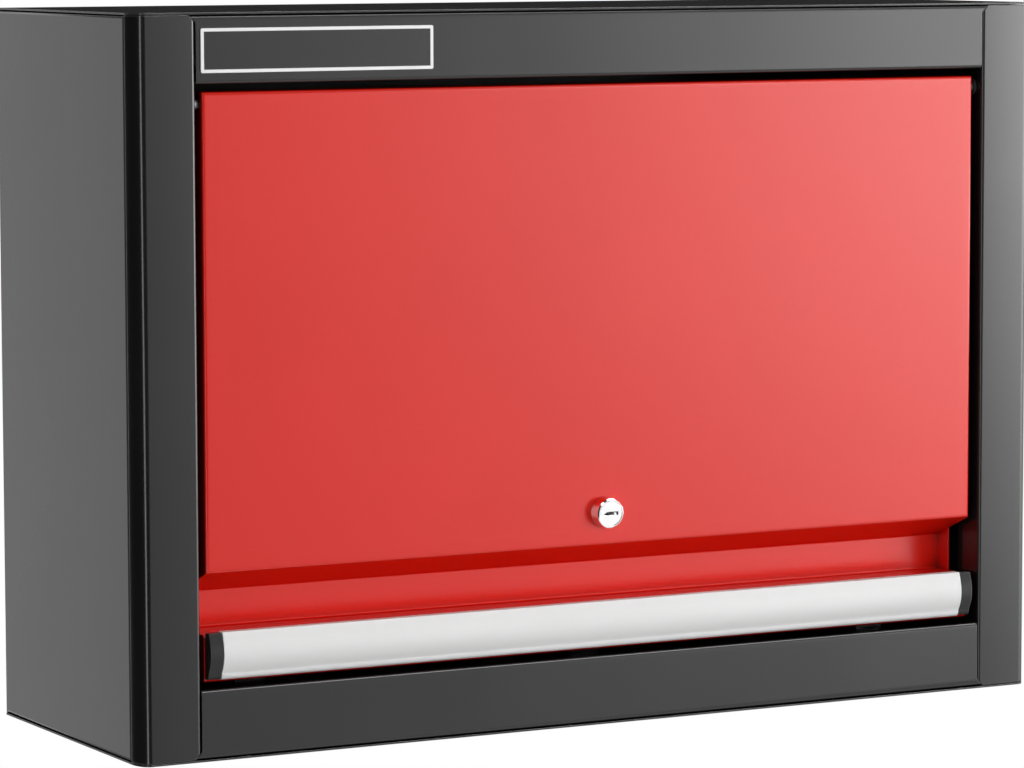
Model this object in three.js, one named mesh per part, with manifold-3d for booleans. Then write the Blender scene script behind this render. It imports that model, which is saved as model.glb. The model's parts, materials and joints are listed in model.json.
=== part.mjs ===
// Wall cabinet of folded sheet steel with a flap door hinged at its top edge.
// Millimetres. X runs to the right, Y to the back and Z up.
// The origin is the middle of the back panel's outer face, which lies on the wall.
import * as THREE from 'three';
import { mergeVertices } from 'three/addons/utils/BufferGeometryUtils.js';
import Module from 'manifold-3d';

const wasm = await Module();
wasm.setup();

// Driving dimensions
const cabinetWidth = 710;
const cabinetDepth = 240;
const cabinetHeight = 500;
const sheet = 1.2;
const foldRadius = 1.2;
const edgeRadius = 2;

// Clearances
const seatGap = 0.3;
const seamGap = 0.6;
const runningGap = 0.3;
const overrun = 3;
const weldDistance = 0.001;

// Front frame
const postFace = 44.3;
const postCornerWidth = 8.5;
const postWrap = 15;
const postReturn = 26;
const postNotch = 5;
const topRailHeight = 47.1;
const bottomRailHeight = 48.3;
const railFlange = 15;
const topRailReturn = 26;
const bottomRailReturn = 72;
const railLip = 12;

// Casing
const lapLength = 3.5;
const lapEase = 0.2;
const sideFlange = 15;
const rearFlange = 15;
const backSheet = 1.5;
const backInset = 1;
const keyholeInsetX = 95;
const keyholeInsetZ = 55;
const keyholeHeadRadius = 6.5;
const keyholeSlotRadius = 3.3;
const keyholeTravel = 14;
const hangingRailHeight = 36;
const hangingRailFoot = 12;
const hangingRailDepth = 14;
const hangingRailEndInset = 36;

// Shelf
const shelfTop = 10;
const shelfFrontInset = 92;
const shelfRearGap = 2;
const shelfSideGap = 0.8;
const shelfLip = 15;
const shelfHem = 8;
const supportLegHeight = 20;
const supportLegWidth = 18;
const supportEndInset = 11;
const shelfScrewInset = 34;
const shelfScrewRadius = 2;
const shelfScrewHeadRadius = 4;
const shelfScrewHeadHeight = 2.2;

// Door skin
const doorSideGap = 6;
const doorTopGap = 5.4;
const doorBottomGap = 3.7;
const doorSetBack = 3.5;
const doorFlange = 20;
const faceBottomHeight = 78.4;
const recessTopHeight = 61.1;
const recessFloorHeight = 35.8;
const recessDepth = 41;
const recessCheekDepth = 15;
const gripInset = 4.5;
const lowerLip = 14;
const lowerFlangeMargin = 3.5;
const flangeShoulderHeight = 84;
const flangeStepHeight = 107;

// Door stiffeners
const stiffenerPlaceShare = 0.5;
const stiffenerWidth = 50;
const stiffenerFoot = 12;
const stiffenerDepth = 14;
const stiffenerTopInset = 26;
const stiffenerBottomInset = 30;

// Hinge at the door's top edge
const hingeInset = 9;
const hingeDrop = 8;
const hingePinRadius = 3;
const hingeHeadRadius = 5.5;
const hingeHeadLength = 3;
const hingeCollarRadius = 4.2;
const hingePinReach = 6;
const bushRadius = 4.8;
const bushFlangeRadius = 6;
const bushFlange = 1.4;
const bushLength = 4;

// Handle
const handleTopHeight = 38.2;
const handleBottomHeight = 5.7;
const handleProud = 2.5;
const handleTopSetBack = 3.2;
const handleLowerSetBack = 4;
const handleBottomSetBack = 8;
const handleLowerCorner = 5;
const handleWall = 1.8;
const handleEndInset = 10.2;
const handleCapGap = 0.7;
const handleCapInset = 0.5;
const handleScrewInset = 104.5;
const handleScrewRadius = 2;
const handleScrewHeadRadius = 4;
const handleScrewHeadHeight = 2.4;
const handleScrewLength = 7;

// Cylinder lock
const lockAboveFaceBottom = 22.3;
const lockProud = 9.6;
const lockFaceRadius = 10.35;
const lockBaseRadius = 11.2;
const lockBevel = 0.8;
const lockBarrelRadius = 9.2;
const lockBarrelLength = 24;
const plugFaceRadius = 8.7;
const plugFaceThickness = 2;
const plugRadius = 6.6;
const plugInset = 0.4;
const plugTailRadius = 4;
const keywayWidth = 11.6;
const keywayHeight = 2.4;
const keywayDepth = 8;
const keywayTaper = 3.2;
const keywayTip = 0.8;
const wardInset = 1.6;
const wardWidth = 1.6;
const wardHeight = 1.6;
const lockNutFlats = 24;
const lockNutThickness = 5;
const camThickness = 2.5;
const camHubRadius = 8.5;
const camTipRadius = 4.5;
const camThrow = 10;
const camPinRadius = 2;
const camScrewRadius = 2;
const camScrewLength = 8;
const camScrewHeadRadius = 5;
const camScrewHeadHeight = 3;

// Sliding lock bar and what guides and catches it
const barThickness = 3;
const barHalfWidth = 11;
const barUpperGap = 1;
const barLowerGap = 1.4;
const barSlotGap = 0.6;
const barTopAboveLock = 46;
const barJogBelowLock = 11;
const barEndBelowDoor = 1;
const guideGap = 0.4;
const guideFoot = 8;
const guideHeight = 12;
const upperGuideAboveLock = 28;
const lowerGuideBelowRecess = 5;
const keeperThickness = 2;
const keeperMargin = 14;
const keeperSlotGap = 0.9;
const railSlotGap = 1.8;

// Door stops
const stopInset = 60.7;
const stopWidth = 22;
const stopHeight = 18;
const stopFoot = 14;
const bufferLength = 8;
const bufferRadius = 6;

// Gas struts
const strutInset = 20.7;
const strutDoorBack = 22;
const strutDoorDrop = 80;
const strutBodyBack = 70;
const strutBodyDrop = 268;
const strutTubeRadius = 9;
const strutTubeWall = 1.2;
const strutRodRadius = 4;
const strutPistonLength = 8;
const strutPistonGap = 5;
const strutRodShowing = 8;
const strutEyeRadius = 8;
const strutEyeWidth = 10;
const strutNeckRadius = 4.8;
const strutNeckLength = 8;
const studRadius = 4;
const studCollarRadius = 6;
const studCollarGap = 0.6;
const studHeadLength = 2.4;
const bracketThickness = 2;
const bracketFrontInset = 5;
const bracketHalfHeight = 18;
const bracketRearMargin = 12;
const earHalfHeight = 28;
const earFrontInset = 4;
const earRearMargin = 3;
const earTipRadius = 10;

// Blank badge plate on the top rail
const badgeWidth = 172;
const badgeHeight = 29.5;
const badgeThickness = 0.9;
const badgeRim = 2.2;
const badgeFieldDepth = 0.3;
const badgeCornerRadius = 1.2;
const badgeSideGap = 3.6;
const badgeBelowTop = 10.4;
const badgeSeat = 0.1;

// Facets of round shapes. An arc's steps count its pairs of facets.
const bendSteps = 3;
const cornerSteps = 4;
const roundSteps = 24;
const smallRoundSteps = 16;
const handleSteps = 10;

// Places worked out from the dimensions
const halfWidth = cabinetWidth / 2;
const frontY = -cabinetDepth;
const topZ = cabinetHeight / 2;
const bottomZ = -topZ;
const upperSeam = topZ - sheet - seamGap;
const lowerSeam = bottomZ + sheet + seamGap;
const openingHalf = halfWidth - postFace;
const openingTop = topZ - topRailHeight;
const openingBottom = bottomZ + bottomRailHeight;
const rearY = -backSheet - seatGap;
const joggle = sheet + seatGap + lapEase;
const cornerX = halfWidth - postCornerWidth;
const cornerY = frontY + postWrap;
const sideStartY = cornerY + seamGap + joggle;
const sideInnerX = halfWidth - sheet;
const railHalf = openingHalf - seamGap;

const doorHalf = openingHalf - doorSideGap;
const doorTop = openingTop - doorTopGap;
const doorBottom = openingBottom + doorBottomGap;
const faceY = frontY + doorSetBack;
const skinBackY = faceY + sheet;
const faceBottom = openingBottom + faceBottomHeight;
const recessTop = openingBottom + recessTopHeight;
const recessFloor = openingBottom + recessFloorHeight;
const recessY = faceY + recessDepth;
const recessBackY = recessY + sheet;
const gripY = faceY + gripInset;
const flangeRearY = recessY + lowerFlangeMargin;
const doorFlangeInnerX = doorHalf - sheet;

const hingeY = faceY + hingeInset;
const hingeZ = doorTop - hingeDrop;

const handleTop = openingBottom + handleTopHeight;
const handleBottom = openingBottom + handleBottomHeight;
const handleBackY = gripY - seatGap;
const handleNoseY = frontY - handleProud;
const handleHalf = doorHalf - handleEndInset;
const handleMiddle = (handleTop + handleBottom) / 2;
const handleScrewX = handleHalf - handleScrewInset;

const lockZ = faceBottom + lockAboveFaceBottom;
const camFrontY = faceY + lockBarrelLength + seatGap + seatGap;
const camRearY = camFrontY + camThickness;
const barUpperY = camRearY + seatGap + camScrewHeadHeight + barUpperGap;
const barLowerY = recessBackY + barLowerGap;
const barJogZ = lockZ - barJogBelowLock;
const barTopZ = lockZ + barTopAboveLock;
const barEndZ = doorBottom - barEndBelowDoor;
const camPinX = camThrow * Math.SQRT1_2;
const barCentre = (camPinX + camThrow) / 2;
const barLeft = barCentre - barHalfWidth;
const barRight = barCentre + barHalfWidth;
const barUpperRearY = barUpperY + barThickness;
const barLowerRearY = barLowerY + barThickness;

const strutX = openingHalf - strutInset;
const strutBodyY = hingeY + strutBodyBack;
const strutBodyZ = hingeZ - strutBodyDrop;
const strutDoorY = hingeY + strutDoorBack;
const strutDoorZ = hingeZ - strutDoorDrop;
const strutRiseY = strutDoorY - strutBodyY;
const strutRiseZ = strutDoorZ - strutBodyZ;
const strutLength = Math.hypot(strutRiseY, strutRiseZ);
const strutAngle = Math.atan2(strutRiseZ, strutRiseY);

// Materials
const finishes = {
  frame: { color: 0x45474a, roughness: 0.45, metalness: 0.1 },
  casing: { color: 0x6a6b6c, roughness: 0.5, metalness: 0.1 },
  top: { color: 0x2e3032, roughness: 0.5, metalness: 0.1 },
  door: { color: 0xdc4a42, roughness: 0.4, metalness: 0.1 },
  aluminium: { color: 0xdcdddd, roughness: 0.35, metalness: 0.8 },
  chrome: { color: 0xd8dadc, roughness: 0.12, metalness: 1 },
  zinc: { color: 0xb4b7b8, roughness: 0.4, metalness: 0.9 },
  cap: { color: 0x343536, roughness: 0.6, metalness: 0 },
  rubber: { color: 0x1c1c1d, roughness: 0.85, metalness: 0 },
  nylon: { color: 0x262728, roughness: 0.6, metalness: 0 },
  tube: { color: 0x1d1e20, roughness: 0.3, metalness: 0.3 },
  badge: { color: 0xe9e9e7, roughness: 0.4, metalness: 0 },
};

// A named piece with a material of its own
function piece(name, geometry, finish) {
  const made = new THREE.Mesh(geometry, new THREE.MeshStandardMaterial(finishes[finish]));
  made.name = name;
  return made;
}

// A closed geometry as a solid that can be joined and cut
function solidOf(geometry) {
  const bare = geometry.clone();
  bare.deleteAttribute('normal');
  bare.deleteAttribute('uv');
  const merged = mergeVertices(bare, weldDistance);
  const vertProperties = merged.attributes.position.array;
  const triVerts = new Uint32Array(merged.index.array);
  return new wasm.Manifold(new wasm.Mesh({ numProp: 3, vertProperties, triVerts }));
}

function geometryOf(solid) {
  const mesh = solid.getMesh();
  const geometry = new THREE.BufferGeometry();
  geometry.setAttribute('position', new THREE.BufferAttribute(mesh.vertProperties, 3));
  geometry.setIndex(new THREE.BufferAttribute(mesh.triVerts, 1));
  geometry.computeVertexNormals();
  return geometry;
}

function joined(geometries) {
  const solids = geometries.map(solidOf);
  return geometryOf(solids.reduce((whole, part) => whole.add(part)));
}

function cutFrom(geometry, tools) {
  const start = solidOf(geometry);
  return geometryOf(tools.reduce((whole, tool) => whole.subtract(solidOf(tool)), start));
}

function common(geometry, tool) {
  return geometryOf(solidOf(geometry).intersect(solidOf(tool)));
}

// Extrusions of an outline along one axis, between two places on it
function extruded(outline, length) {
  const shape = outline instanceof THREE.Shape ? outline : new THREE.Shape(outline);
  return new THREE.ExtrudeGeometry(shape, { depth: length, bevelEnabled: false });
}

// The outline is given in Y and Z
function extrudedAlongX(outline, from, to) {
  const frame = new THREE.Matrix4();
  frame.makeBasis(new THREE.Vector3(0, 1, 0), new THREE.Vector3(0, 0, 1), new THREE.Vector3(1, 0, 0));
  return extruded(outline, to - from).applyMatrix4(frame).translate(from, 0, 0);
}

// The outline is given in X and Z
function extrudedAlongY(outline, from, to) {
  const frame = new THREE.Matrix4();
  frame.makeBasis(new THREE.Vector3(1, 0, 0), new THREE.Vector3(0, 0, 1), new THREE.Vector3(0, -1, 0));
  return extruded(outline, to - from).applyMatrix4(frame).translate(0, to, 0);
}

// The outline is given in X and Y
function extrudedAlongZ(outline, from, to) {
  return extruded(outline, to - from).translate(0, 0, from);
}

function block(low, high) {
  const size = high.map((value, axis) => value - low[axis]);
  const middle = high.map((value, axis) => (value + low[axis]) / 2);
  return new THREE.BoxGeometry(...size).translate(...middle);
}

function points(list) {
  return list.map(([across, up]) => new THREE.Vector2(across, up));
}

// Mirrors an outline, a list of points, to the left side of the cabinet
function onSide(outline, side) {
  return outline.map((point) => new THREE.Vector2(point.x * side, point.y));
}

// The ends of an extrusion along X, in rising order on either side
function spanOnSide(side, inner, outer) {
  return side > 0 ? [inner, outer] : [-outer, -inner];
}

function leftNormal(from, to) {
  const along = to.clone().sub(from).normalize();
  return new THREE.Vector2(-along.y, along.x);
}

// The line that runs beside an open line of corners, to its left
function beside(corners, distance) {
  return corners.map((corner, index) => {
    const before = index > 0 ? leftNormal(corners[index - 1], corner) : null;
    const after = index < corners.length - 1 ? leftNormal(corner, corners[index + 1]) : null;
    const first = before ?? after;
    const second = after ?? before;
    const mitre = first.clone().add(second).normalize();
    return corner.clone().addScaledVector(mitre, distance / mitre.dot(first));
  });
}

// An open line with each inner corner rounded by the radius that goes with it
function rounded(corners, radii) {
  const line = [corners[0]];
  for (let index = 1; index < corners.length - 1; index += 1) {
    const corner = corners[index];
    const inward = corner.clone().sub(corners[index - 1]).normalize();
    const outward = corners[index + 1].clone().sub(corner).normalize();
    const turn = Math.atan2(inward.cross(outward), inward.dot(outward));
    const radius = radii[index - 1];
    const reach = radius * Math.tan(Math.abs(turn) / 2);
    const start = corner.clone().addScaledVector(inward, -reach);
    const normal = new THREE.Vector2(-inward.y, inward.x).multiplyScalar(Math.sign(turn) * radius);
    const centre = start.clone().add(normal);
    for (let step = 0; step <= bendSteps; step += 1) {
      line.push(start.clone().rotateAround(centre, turn * step / bendSteps));
    }
  }
  line.push(corners[corners.length - 1]);
  return line;
}

// The two faces of a folded sheet. The visible one runs through the corners and the metal is to its left.
function foldedFaces(cornerList, thickness, innerRadii) {
  const face = points(cornerList);
  const back = beside(face, thickness);
  const turns = face.slice(1, -1).map((corner, index) => {
    const inward = corner.clone().sub(face[index]);
    const outward = face[index + 2].clone().sub(corner);
    return inward.cross(outward);
  });
  const inner = turns.map((turn, index) => (Array.isArray(innerRadii) ? innerRadii[index] : innerRadii));
  const faceRadii = turns.map((turn, index) => inner[index] + (turn > 0 ? thickness : 0));
  const backRadii = turns.map((turn, index) => inner[index] + (turn > 0 ? 0 : thickness));
  return [rounded(face, faceRadii), rounded(back, backRadii)];
}

function foldedOutline(cornerList, thickness, innerRadii) {
  const [face, back] = foldedFaces(cornerList, thickness, innerRadii);
  return [...face, ...back.reverse()];
}

function roundedRectangle(left, low, right, high, radius) {
  const shape = new THREE.Shape();
  shape.moveTo(left + radius, low);
  shape.absarc(right - radius, low + radius, radius, -Math.PI / 2, 0);
  shape.absarc(right - radius, high - radius, radius, 0, Math.PI / 2);
  shape.absarc(left + radius, high - radius, radius, Math.PI / 2, Math.PI);
  shape.absarc(left + radius, low + radius, radius, Math.PI, Math.PI * 1.5);
  return new THREE.Shape(withoutRepeats(shape.getPoints(cornerSteps)));
}

function withoutRepeats(line) {
  return line.filter((point, index) => {
    const next = line[(index + 1) % line.length];
    return point.distanceTo(next) > weldDistance;
  });
}

function circle(x, y, radius, steps) {
  const shape = new THREE.Shape();
  shape.absarc(x, y, radius, 0, Math.PI * 2);
  return new THREE.Shape(withoutRepeats(shape.getPoints(steps / 2)));
}

function rodAlongX(y, z, radius, from, to) {
  return extrudedAlongX(circle(y, z, radius, roundSteps), from, to);
}

function rodAlongY(x, z, radius, from, to) {
  return extrudedAlongY(circle(x, z, radius, roundSteps), from, to);
}

function rodAlongZ(x, y, radius, from, to) {
  return extrudedAlongZ(circle(x, y, radius, smallRoundSteps), from, to);
}

// A turned shape on the Y axis. Its profile holds radius and place along the axis, from low to high.
function turned(profile, steps) {
  return new THREE.LatheGeometry(points(profile), steps);
}

// A turned shape laid along X, with its profile's places counted outwards on either side
function turnedAcross(profile, side) {
  return turned(profile, roundSteps).rotateZ(-side * Math.PI / 2);
}

// Front posts
function postNotchTool(side, endZ, inwardZ) {
  const corner = endZ - inwardZ * postNotch;
  const beyond = endZ + inwardZ * overrun;
  const outline = points([
    [openingHalf - overrun, corner - inwardZ * overrun],
    [openingHalf + postNotch + overrun, beyond],
    [openingHalf - overrun, beyond],
  ]);
  return extrudedAlongY(onSide(outline, side), frontY - overrun, frontY + postReturn + overrun);
}

// The casing's soft front corner, from its face to its side, or a line that far inside it
function cornerCurve(inset) {
  const path = new THREE.Path();
  const acrossRadius = postCornerWidth - inset;
  const alongRadius = postWrap - inset;
  path.absellipse(cornerX, cornerY, acrossRadius, alongRadius, -Math.PI / 2, 0);
  return path.getPoints(cornerSteps);
}

// A post is folded in at the opening and rounds the corner to the seam of the side panel
function post(side) {
  const corners = [
    [openingHalf, frontY + postReturn],
    [openingHalf, frontY],
    [cornerX, frontY],
  ];
  const [face, back] = foldedFaces(corners, sheet, foldRadius);
  const visible = [...face, ...cornerCurve(0)];
  const hidden = [...back, ...cornerCurve(sheet)];
  const outline = withoutRepeats([...visible, ...hidden.reverse()]);
  const blank = extrudedAlongZ(onSide(outline, side), lowerSeam, upperSeam);
  const boreRadius = bushRadius + runningGap;
  const [from, to] = spanOnSide(side, openingHalf - overrun, openingHalf + sheet + overrun);
  const bushHole = rodAlongX(hingeY, hingeZ, boreRadius, from, to);
  const notches = [postNotchTool(side, upperSeam, 1), postNotchTool(side, lowerSeam, -1)];
  return cutFrom(blank, [...notches, bushHole]);
}

// Rails
function railEndTool(side, endZ, inwardZ, depth) {
  const farZ = endZ - inwardZ * cabinetHeight;
  const outline = points([
    [railHalf, farZ],
    [railHalf + postNotch + overrun, farZ],
    [railHalf + postNotch + overrun, endZ + inwardZ * overrun],
    [railHalf, endZ - inwardZ * postNotch],
  ]);
  return extrudedAlongY(onSide(outline, side), frontY - overrun, frontY + depth + overrun);
}

function rail(corners, endZ, inwardZ, depth) {
  const outline = foldedOutline(corners, sheet, foldRadius);
  const blank = extrudedAlongX(outline, -railHalf - postNotch, railHalf + postNotch);
  return cutFrom(blank, [-1, 1].map((side) => railEndTool(side, endZ, inwardZ, depth)));
}

function topRail() {
  const corners = [
    [frontY + railFlange, upperSeam],
    [frontY, upperSeam],
    [frontY, openingTop],
    [frontY + topRailReturn, openingTop],
    [frontY + topRailReturn, openingTop + railLip],
  ];
  return rail(corners, upperSeam, 1, topRailReturn);
}

function bottomRail() {
  const corners = [
    [frontY + bottomRailReturn, openingBottom - railLip],
    [frontY + bottomRailReturn, openingBottom],
    [frontY, openingBottom],
    [frontY, lowerSeam],
    [frontY + railFlange, lowerSeam],
  ];
  const folded = rail(corners, lowerSeam, -1, bottomRailReturn);
  const slot = block(
    [barLeft - railSlotGap, barLowerY - railSlotGap, openingBottom - sheet - overrun],
    [barRight + railSlotGap, barLowerRearY + railSlotGap, openingBottom + overrun],
  );
  return cutFrom(folded, [slot]);
}

// Casing
function sidePanel(side) {
  const corners = [
    [halfWidth - joggle, sideStartY - joggle - lapLength],
    [halfWidth - joggle, sideStartY - joggle],
    [halfWidth, sideStartY],
    [halfWidth, rearY],
    [halfWidth - rearFlange, rearY],
  ];
  const outline = foldedOutline(corners, sheet, [seatGap, seatGap, foldRadius]);
  const wall = extrudedAlongZ(onSide(outline, side), lowerSeam, upperSeam);
  const flanges = [[lowerSeam, lowerSeam + sheet], [upperSeam - sheet, upperSeam]].map(([low, high]) => {
    const [from, to] = spanOnSide(side, halfWidth - sideFlange, sideInnerX + sheet / 2);
    return block([from, sideStartY, low], [to, rearY - sheet / 2, high]);
  });
  const round = roundedRectangle(-halfWidth, lowerSeam, halfWidth, upperSeam, edgeRadius);
  return common(joined([wall, ...flanges]), extrudedAlongY(round, frontY, rearY + overrun));
}

// The top and the bottom are flat plates with the posts' front corners and a flange at the back
function cover(lowZ, highZ, flangeLow, flangeHigh) {
  const rightHalf = [...cornerCurve(0), new THREE.Vector2(halfWidth, rearY)];
  const leftHalf = onSide(rightHalf, -1).reverse();
  const plate = extrudedAlongZ([...rightHalf, ...leftHalf], lowZ, highZ);
  const flangeHalf = halfWidth - rearFlange - seamGap;
  const flange = block([-flangeHalf, rearY - sheet, flangeLow], [flangeHalf, rearY, flangeHigh]);
  return joined([plate, flange]);
}

function keyhole(x, z) {
  const head = rodAlongY(x, z, keyholeHeadRadius, -backSheet - overrun, overrun);
  const slotTop = z + keyholeTravel;
  const slot = block(
    [x - keyholeSlotRadius, -backSheet - overrun, z],
    [x + keyholeSlotRadius, overrun, slotTop],
  );
  const end = rodAlongY(x, slotTop, keyholeSlotRadius, -backSheet - overrun, overrun);
  return joined([head, slot, end]);
}

function backPanel() {
  const right = halfWidth - backInset;
  const high = topZ - backInset;
  const plate = block([-right, -backSheet, -high], [right, 0, high]);
  const places = [topZ - keyholeInsetZ, bottomZ + keyholeInsetZ].flatMap((z) => (
    [-1, 1].map((side) => [side * (halfWidth - keyholeInsetX), z])
  ));
  return cutFrom(plate, places.map(([x, z]) => keyhole(x, z)));
}

function hangingRail() {
  const footY = rearY - sheet;
  const webY = footY - hangingRailDepth;
  const middle = topZ - keyholeInsetZ + keyholeTravel / 2;
  const high = middle + hangingRailHeight / 2;
  const low = middle - hangingRailHeight / 2;
  const corners = [
    [footY, high + hangingRailFoot],
    [footY, high],
    [webY, high],
    [webY, low],
    [footY, low],
    [footY, low - hangingRailFoot],
  ];
  const end = halfWidth - hangingRailEndInset;
  return extrudedAlongX(foldedOutline(corners, sheet, foldRadius), -end, end);
}

// Shelf
const shelfFrontY = frontY + shelfFrontInset;
const shelfRearY = rearY - sheet - shelfRearGap;
const supportTop = shelfTop - sheet - seatGap;
const supportX = sideInnerX - seatGap;
const shelfScrewX = supportX - supportLegWidth / 2;
const shelfScrewYs = [shelfFrontY + shelfScrewInset, shelfRearY - shelfScrewInset];

function shelfScrewHole(x, y) {
  const radius = shelfScrewRadius + runningGap;
  return rodAlongZ(x, y, radius, supportTop - sheet - overrun, shelfTop + overrun);
}

function shelf() {
  const corners = [
    [shelfRearY, shelfTop - shelfLip],
    [shelfRearY, shelfTop],
    [shelfFrontY, shelfTop],
    [shelfFrontY, shelfTop - shelfLip],
    [shelfFrontY + shelfHem, shelfTop - shelfLip],
  ];
  const end = sideInnerX - shelfSideGap;
  const folded = extrudedAlongX(foldedOutline(corners, sheet, foldRadius), -end, end);
  const holes = [-shelfScrewX, shelfScrewX].flatMap((x) => shelfScrewYs.map((y) => shelfScrewHole(x, y)));
  return cutFrom(folded, holes);
}

function shelfSupport(side) {
  const corners = [
    [supportX, supportTop - supportLegHeight],
    [supportX, supportTop],
    [supportX - supportLegWidth, supportTop],
  ];
  const outline = onSide(foldedOutline(corners, sheet, foldRadius), side);
  const angle = extrudedAlongY(outline, shelfFrontY + supportEndInset, shelfRearY - supportEndInset);
  return cutFrom(angle, shelfScrewYs.map((y) => shelfScrewHole(side * shelfScrewX, y)));
}

// The shelf screws are driven up from below and end under the shelf's top, which stays flat
function shelfScrew() {
  const headTop = supportTop - sheet - seatGap;
  const headFoot = headTop - shelfScrewHeadHeight;
  const tip = shelfTop - seatGap;
  const profile = [
    [0, headFoot],
    [shelfScrewHeadRadius / 2, headFoot],
    [shelfScrewHeadRadius, headFoot + shelfScrewHeadHeight / 2],
    [shelfScrewHeadRadius, headTop],
    [shelfScrewRadius, headTop],
    [shelfScrewRadius, tip],
    [0, tip],
  ];
  return turned(profile, smallRoundSteps).rotateX(Math.PI / 2);
}

// Hinge
function hingeBush(side) {
  const bore = hingePinRadius + runningGap;
  const flangeEnd = openingHalf - seatGap;
  const profile = [
    [bore, flangeEnd - bushFlange],
    [bushFlangeRadius, flangeEnd - bushFlange],
    [bushFlangeRadius, flangeEnd],
    [bushRadius, flangeEnd],
    [bushRadius, flangeEnd + bushLength],
    [bore, flangeEnd + bushLength],
    [bore, flangeEnd - bushFlange],
  ];
  return turnedAcross(profile, side);
}

function hingePin(side) {
  const headStart = doorFlangeInnerX - seatGap - hingeHeadLength;
  const collarEnd = openingHalf - seatGap - bushFlange - seatGap;
  const profile = [
    [0, headStart],
    [hingeHeadRadius, headStart],
    [hingeHeadRadius, doorFlangeInnerX - seatGap],
    [hingePinRadius, doorFlangeInnerX - seatGap],
    [hingePinRadius, doorHalf + seatGap],
    [hingeCollarRadius, doorHalf + seatGap],
    [hingeCollarRadius, collarEnd],
    [hingePinRadius, collarEnd],
    [hingePinRadius, openingHalf + hingePinReach],
    [0, openingHalf + hingePinReach],
  ];
  return turnedAcross(profile, side);
}

// Door skin, one folded sheet with its two side flanges
function underside(y) {
  return faceBottom + (recessTop - faceBottom) * (y - faceY) / recessDepth;
}

function doorSideFlange(side) {
  const skinShare = 0.8;
  const inset = sheet * skinShare;
  const cheekY = recessY - recessCheekDepth;
  const outline = points([
    [faceY + inset, doorTop - inset],
    [faceY + inset, faceBottom + inset],
    [cheekY, underside(cheekY) + inset],
    [cheekY, recessFloor - inset],
    [gripY + inset, recessFloor - inset],
    [gripY + inset, doorBottom + inset],
    [flangeRearY, doorBottom + inset],
    [flangeRearY, openingBottom + flangeShoulderHeight],
    [faceY + doorFlange, openingBottom + flangeStepHeight],
    [faceY + doorFlange, doorTop - inset],
  ]);
  return extrudedAlongX(outline, ...spanOnSide(side, doorHalf - sheet, doorHalf));
}

function doorSkin() {
  const corners = [
    [faceY + doorFlange, doorTop],
    [faceY, doorTop],
    [faceY, faceBottom],
    [recessY, recessTop],
    [recessY, recessFloor],
    [gripY, recessFloor],
    [gripY, doorBottom],
    [recessY, doorBottom],
    [recessY, doorBottom + lowerLip],
  ];
  const folded = extrudedAlongX(foldedOutline(corners, sheet, foldRadius), -doorHalf, doorHalf);
  const whole = joined([folded, doorSideFlange(-1), doorSideFlange(1)]);
  const plan = roundedRectangle(-doorHalf, faceY, doorHalf, rearY, foldRadius + sheet);
  const softened = common(whole, extrudedAlongZ(plan, doorBottom - overrun, doorTop + overrun));
  const reach = doorHalf + overrun;
  const holes = [
    rodAlongY(0, lockZ, lockBarrelRadius + runningGap, faceY - overrun, skinBackY + overrun),
    rodAlongX(hingeY, hingeZ, hingePinRadius + runningGap, -reach, reach),
  ];
  const screwHoles = [-1, 1].map((side) => handleScrewHole(side));
  return cutFrom(softened, [...holes, ...screwHoles]);
}

function stiffener(side) {
  const footY = skinBackY + seatGap;
  const faceOfFoot = footY + sheet;
  const web = footY + stiffenerDepth;
  const middle = side * doorHalf * stiffenerPlaceShare;
  const half = stiffenerWidth / 2;
  const corners = [
    [middle + half + stiffenerFoot, faceOfFoot],
    [middle + half, faceOfFoot],
    [middle + half, web],
    [middle - half, web],
    [middle - half, faceOfFoot],
    [middle - half - stiffenerFoot, faceOfFoot],
  ];
  const outline = foldedOutline(corners, sheet, foldRadius);
  return extrudedAlongZ(outline, faceBottom + stiffenerBottomInset, doorTop - stiffenerTopInset);
}

// Handle: a hollow extrusion whose front bulges forward and turns in at its foot
function handleOutline(inset) {
  const backY = handleBackY - inset;
  const high = handleTop - inset;
  const low = handleBottom + inset;
  const topY = frontY - handleProud + handleTopSetBack + inset;
  const lowerY = handleNoseY + handleLowerSetBack + inset;
  const footY = handleNoseY + handleBottomSetBack;
  const bulgeY = (handleNoseY + inset) * 2 - (topY + lowerY) / 2;
  const shape = new THREE.Shape();
  shape.moveTo(backY, low);
  shape.lineTo(backY, high);
  shape.lineTo(topY, high);
  shape.quadraticCurveTo(bulgeY, handleMiddle, lowerY, low + handleLowerCorner - inset);
  shape.quadraticCurveTo(lowerY, low, footY, low);
  return new THREE.Shape(withoutRepeats(shape.getPoints(handleSteps)));
}

function handleScrewHole(side) {
  const radius = handleScrewRadius + runningGap;
  const from = handleBackY - handleWall - overrun;
  return rodAlongY(side * handleScrewX, handleMiddle, radius, from, gripY + sheet + overrun);
}

function handleProfile() {
  const shape = handleOutline(0);
  shape.holes.push(handleOutline(handleWall));
  const bar = extrudedAlongX(shape, -handleHalf, handleHalf);
  return cutFrom(bar, [-1, 1].map((side) => handleScrewHole(side)));
}

function handleCap(side) {
  const span = spanOnSide(side, handleHalf + seatGap, doorHalf - handleCapGap);
  return extrudedAlongX(handleOutline(handleCapInset), ...span);
}

function handleScrew() {
  const profile = [
    [0, -handleScrewLength],
    [handleScrewRadius, -handleScrewLength + handleScrewRadius],
    [handleScrewRadius, seatGap],
    [handleScrewHeadRadius, seatGap],
    [handleScrewHeadRadius, seatGap + handleScrewHeadHeight / 2],
    [handleScrewHeadRadius / 2, seatGap + handleScrewHeadHeight],
    [0, seatGap + handleScrewHeadHeight],
  ];
  return turned(profile, smallRoundSteps);
}

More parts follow.
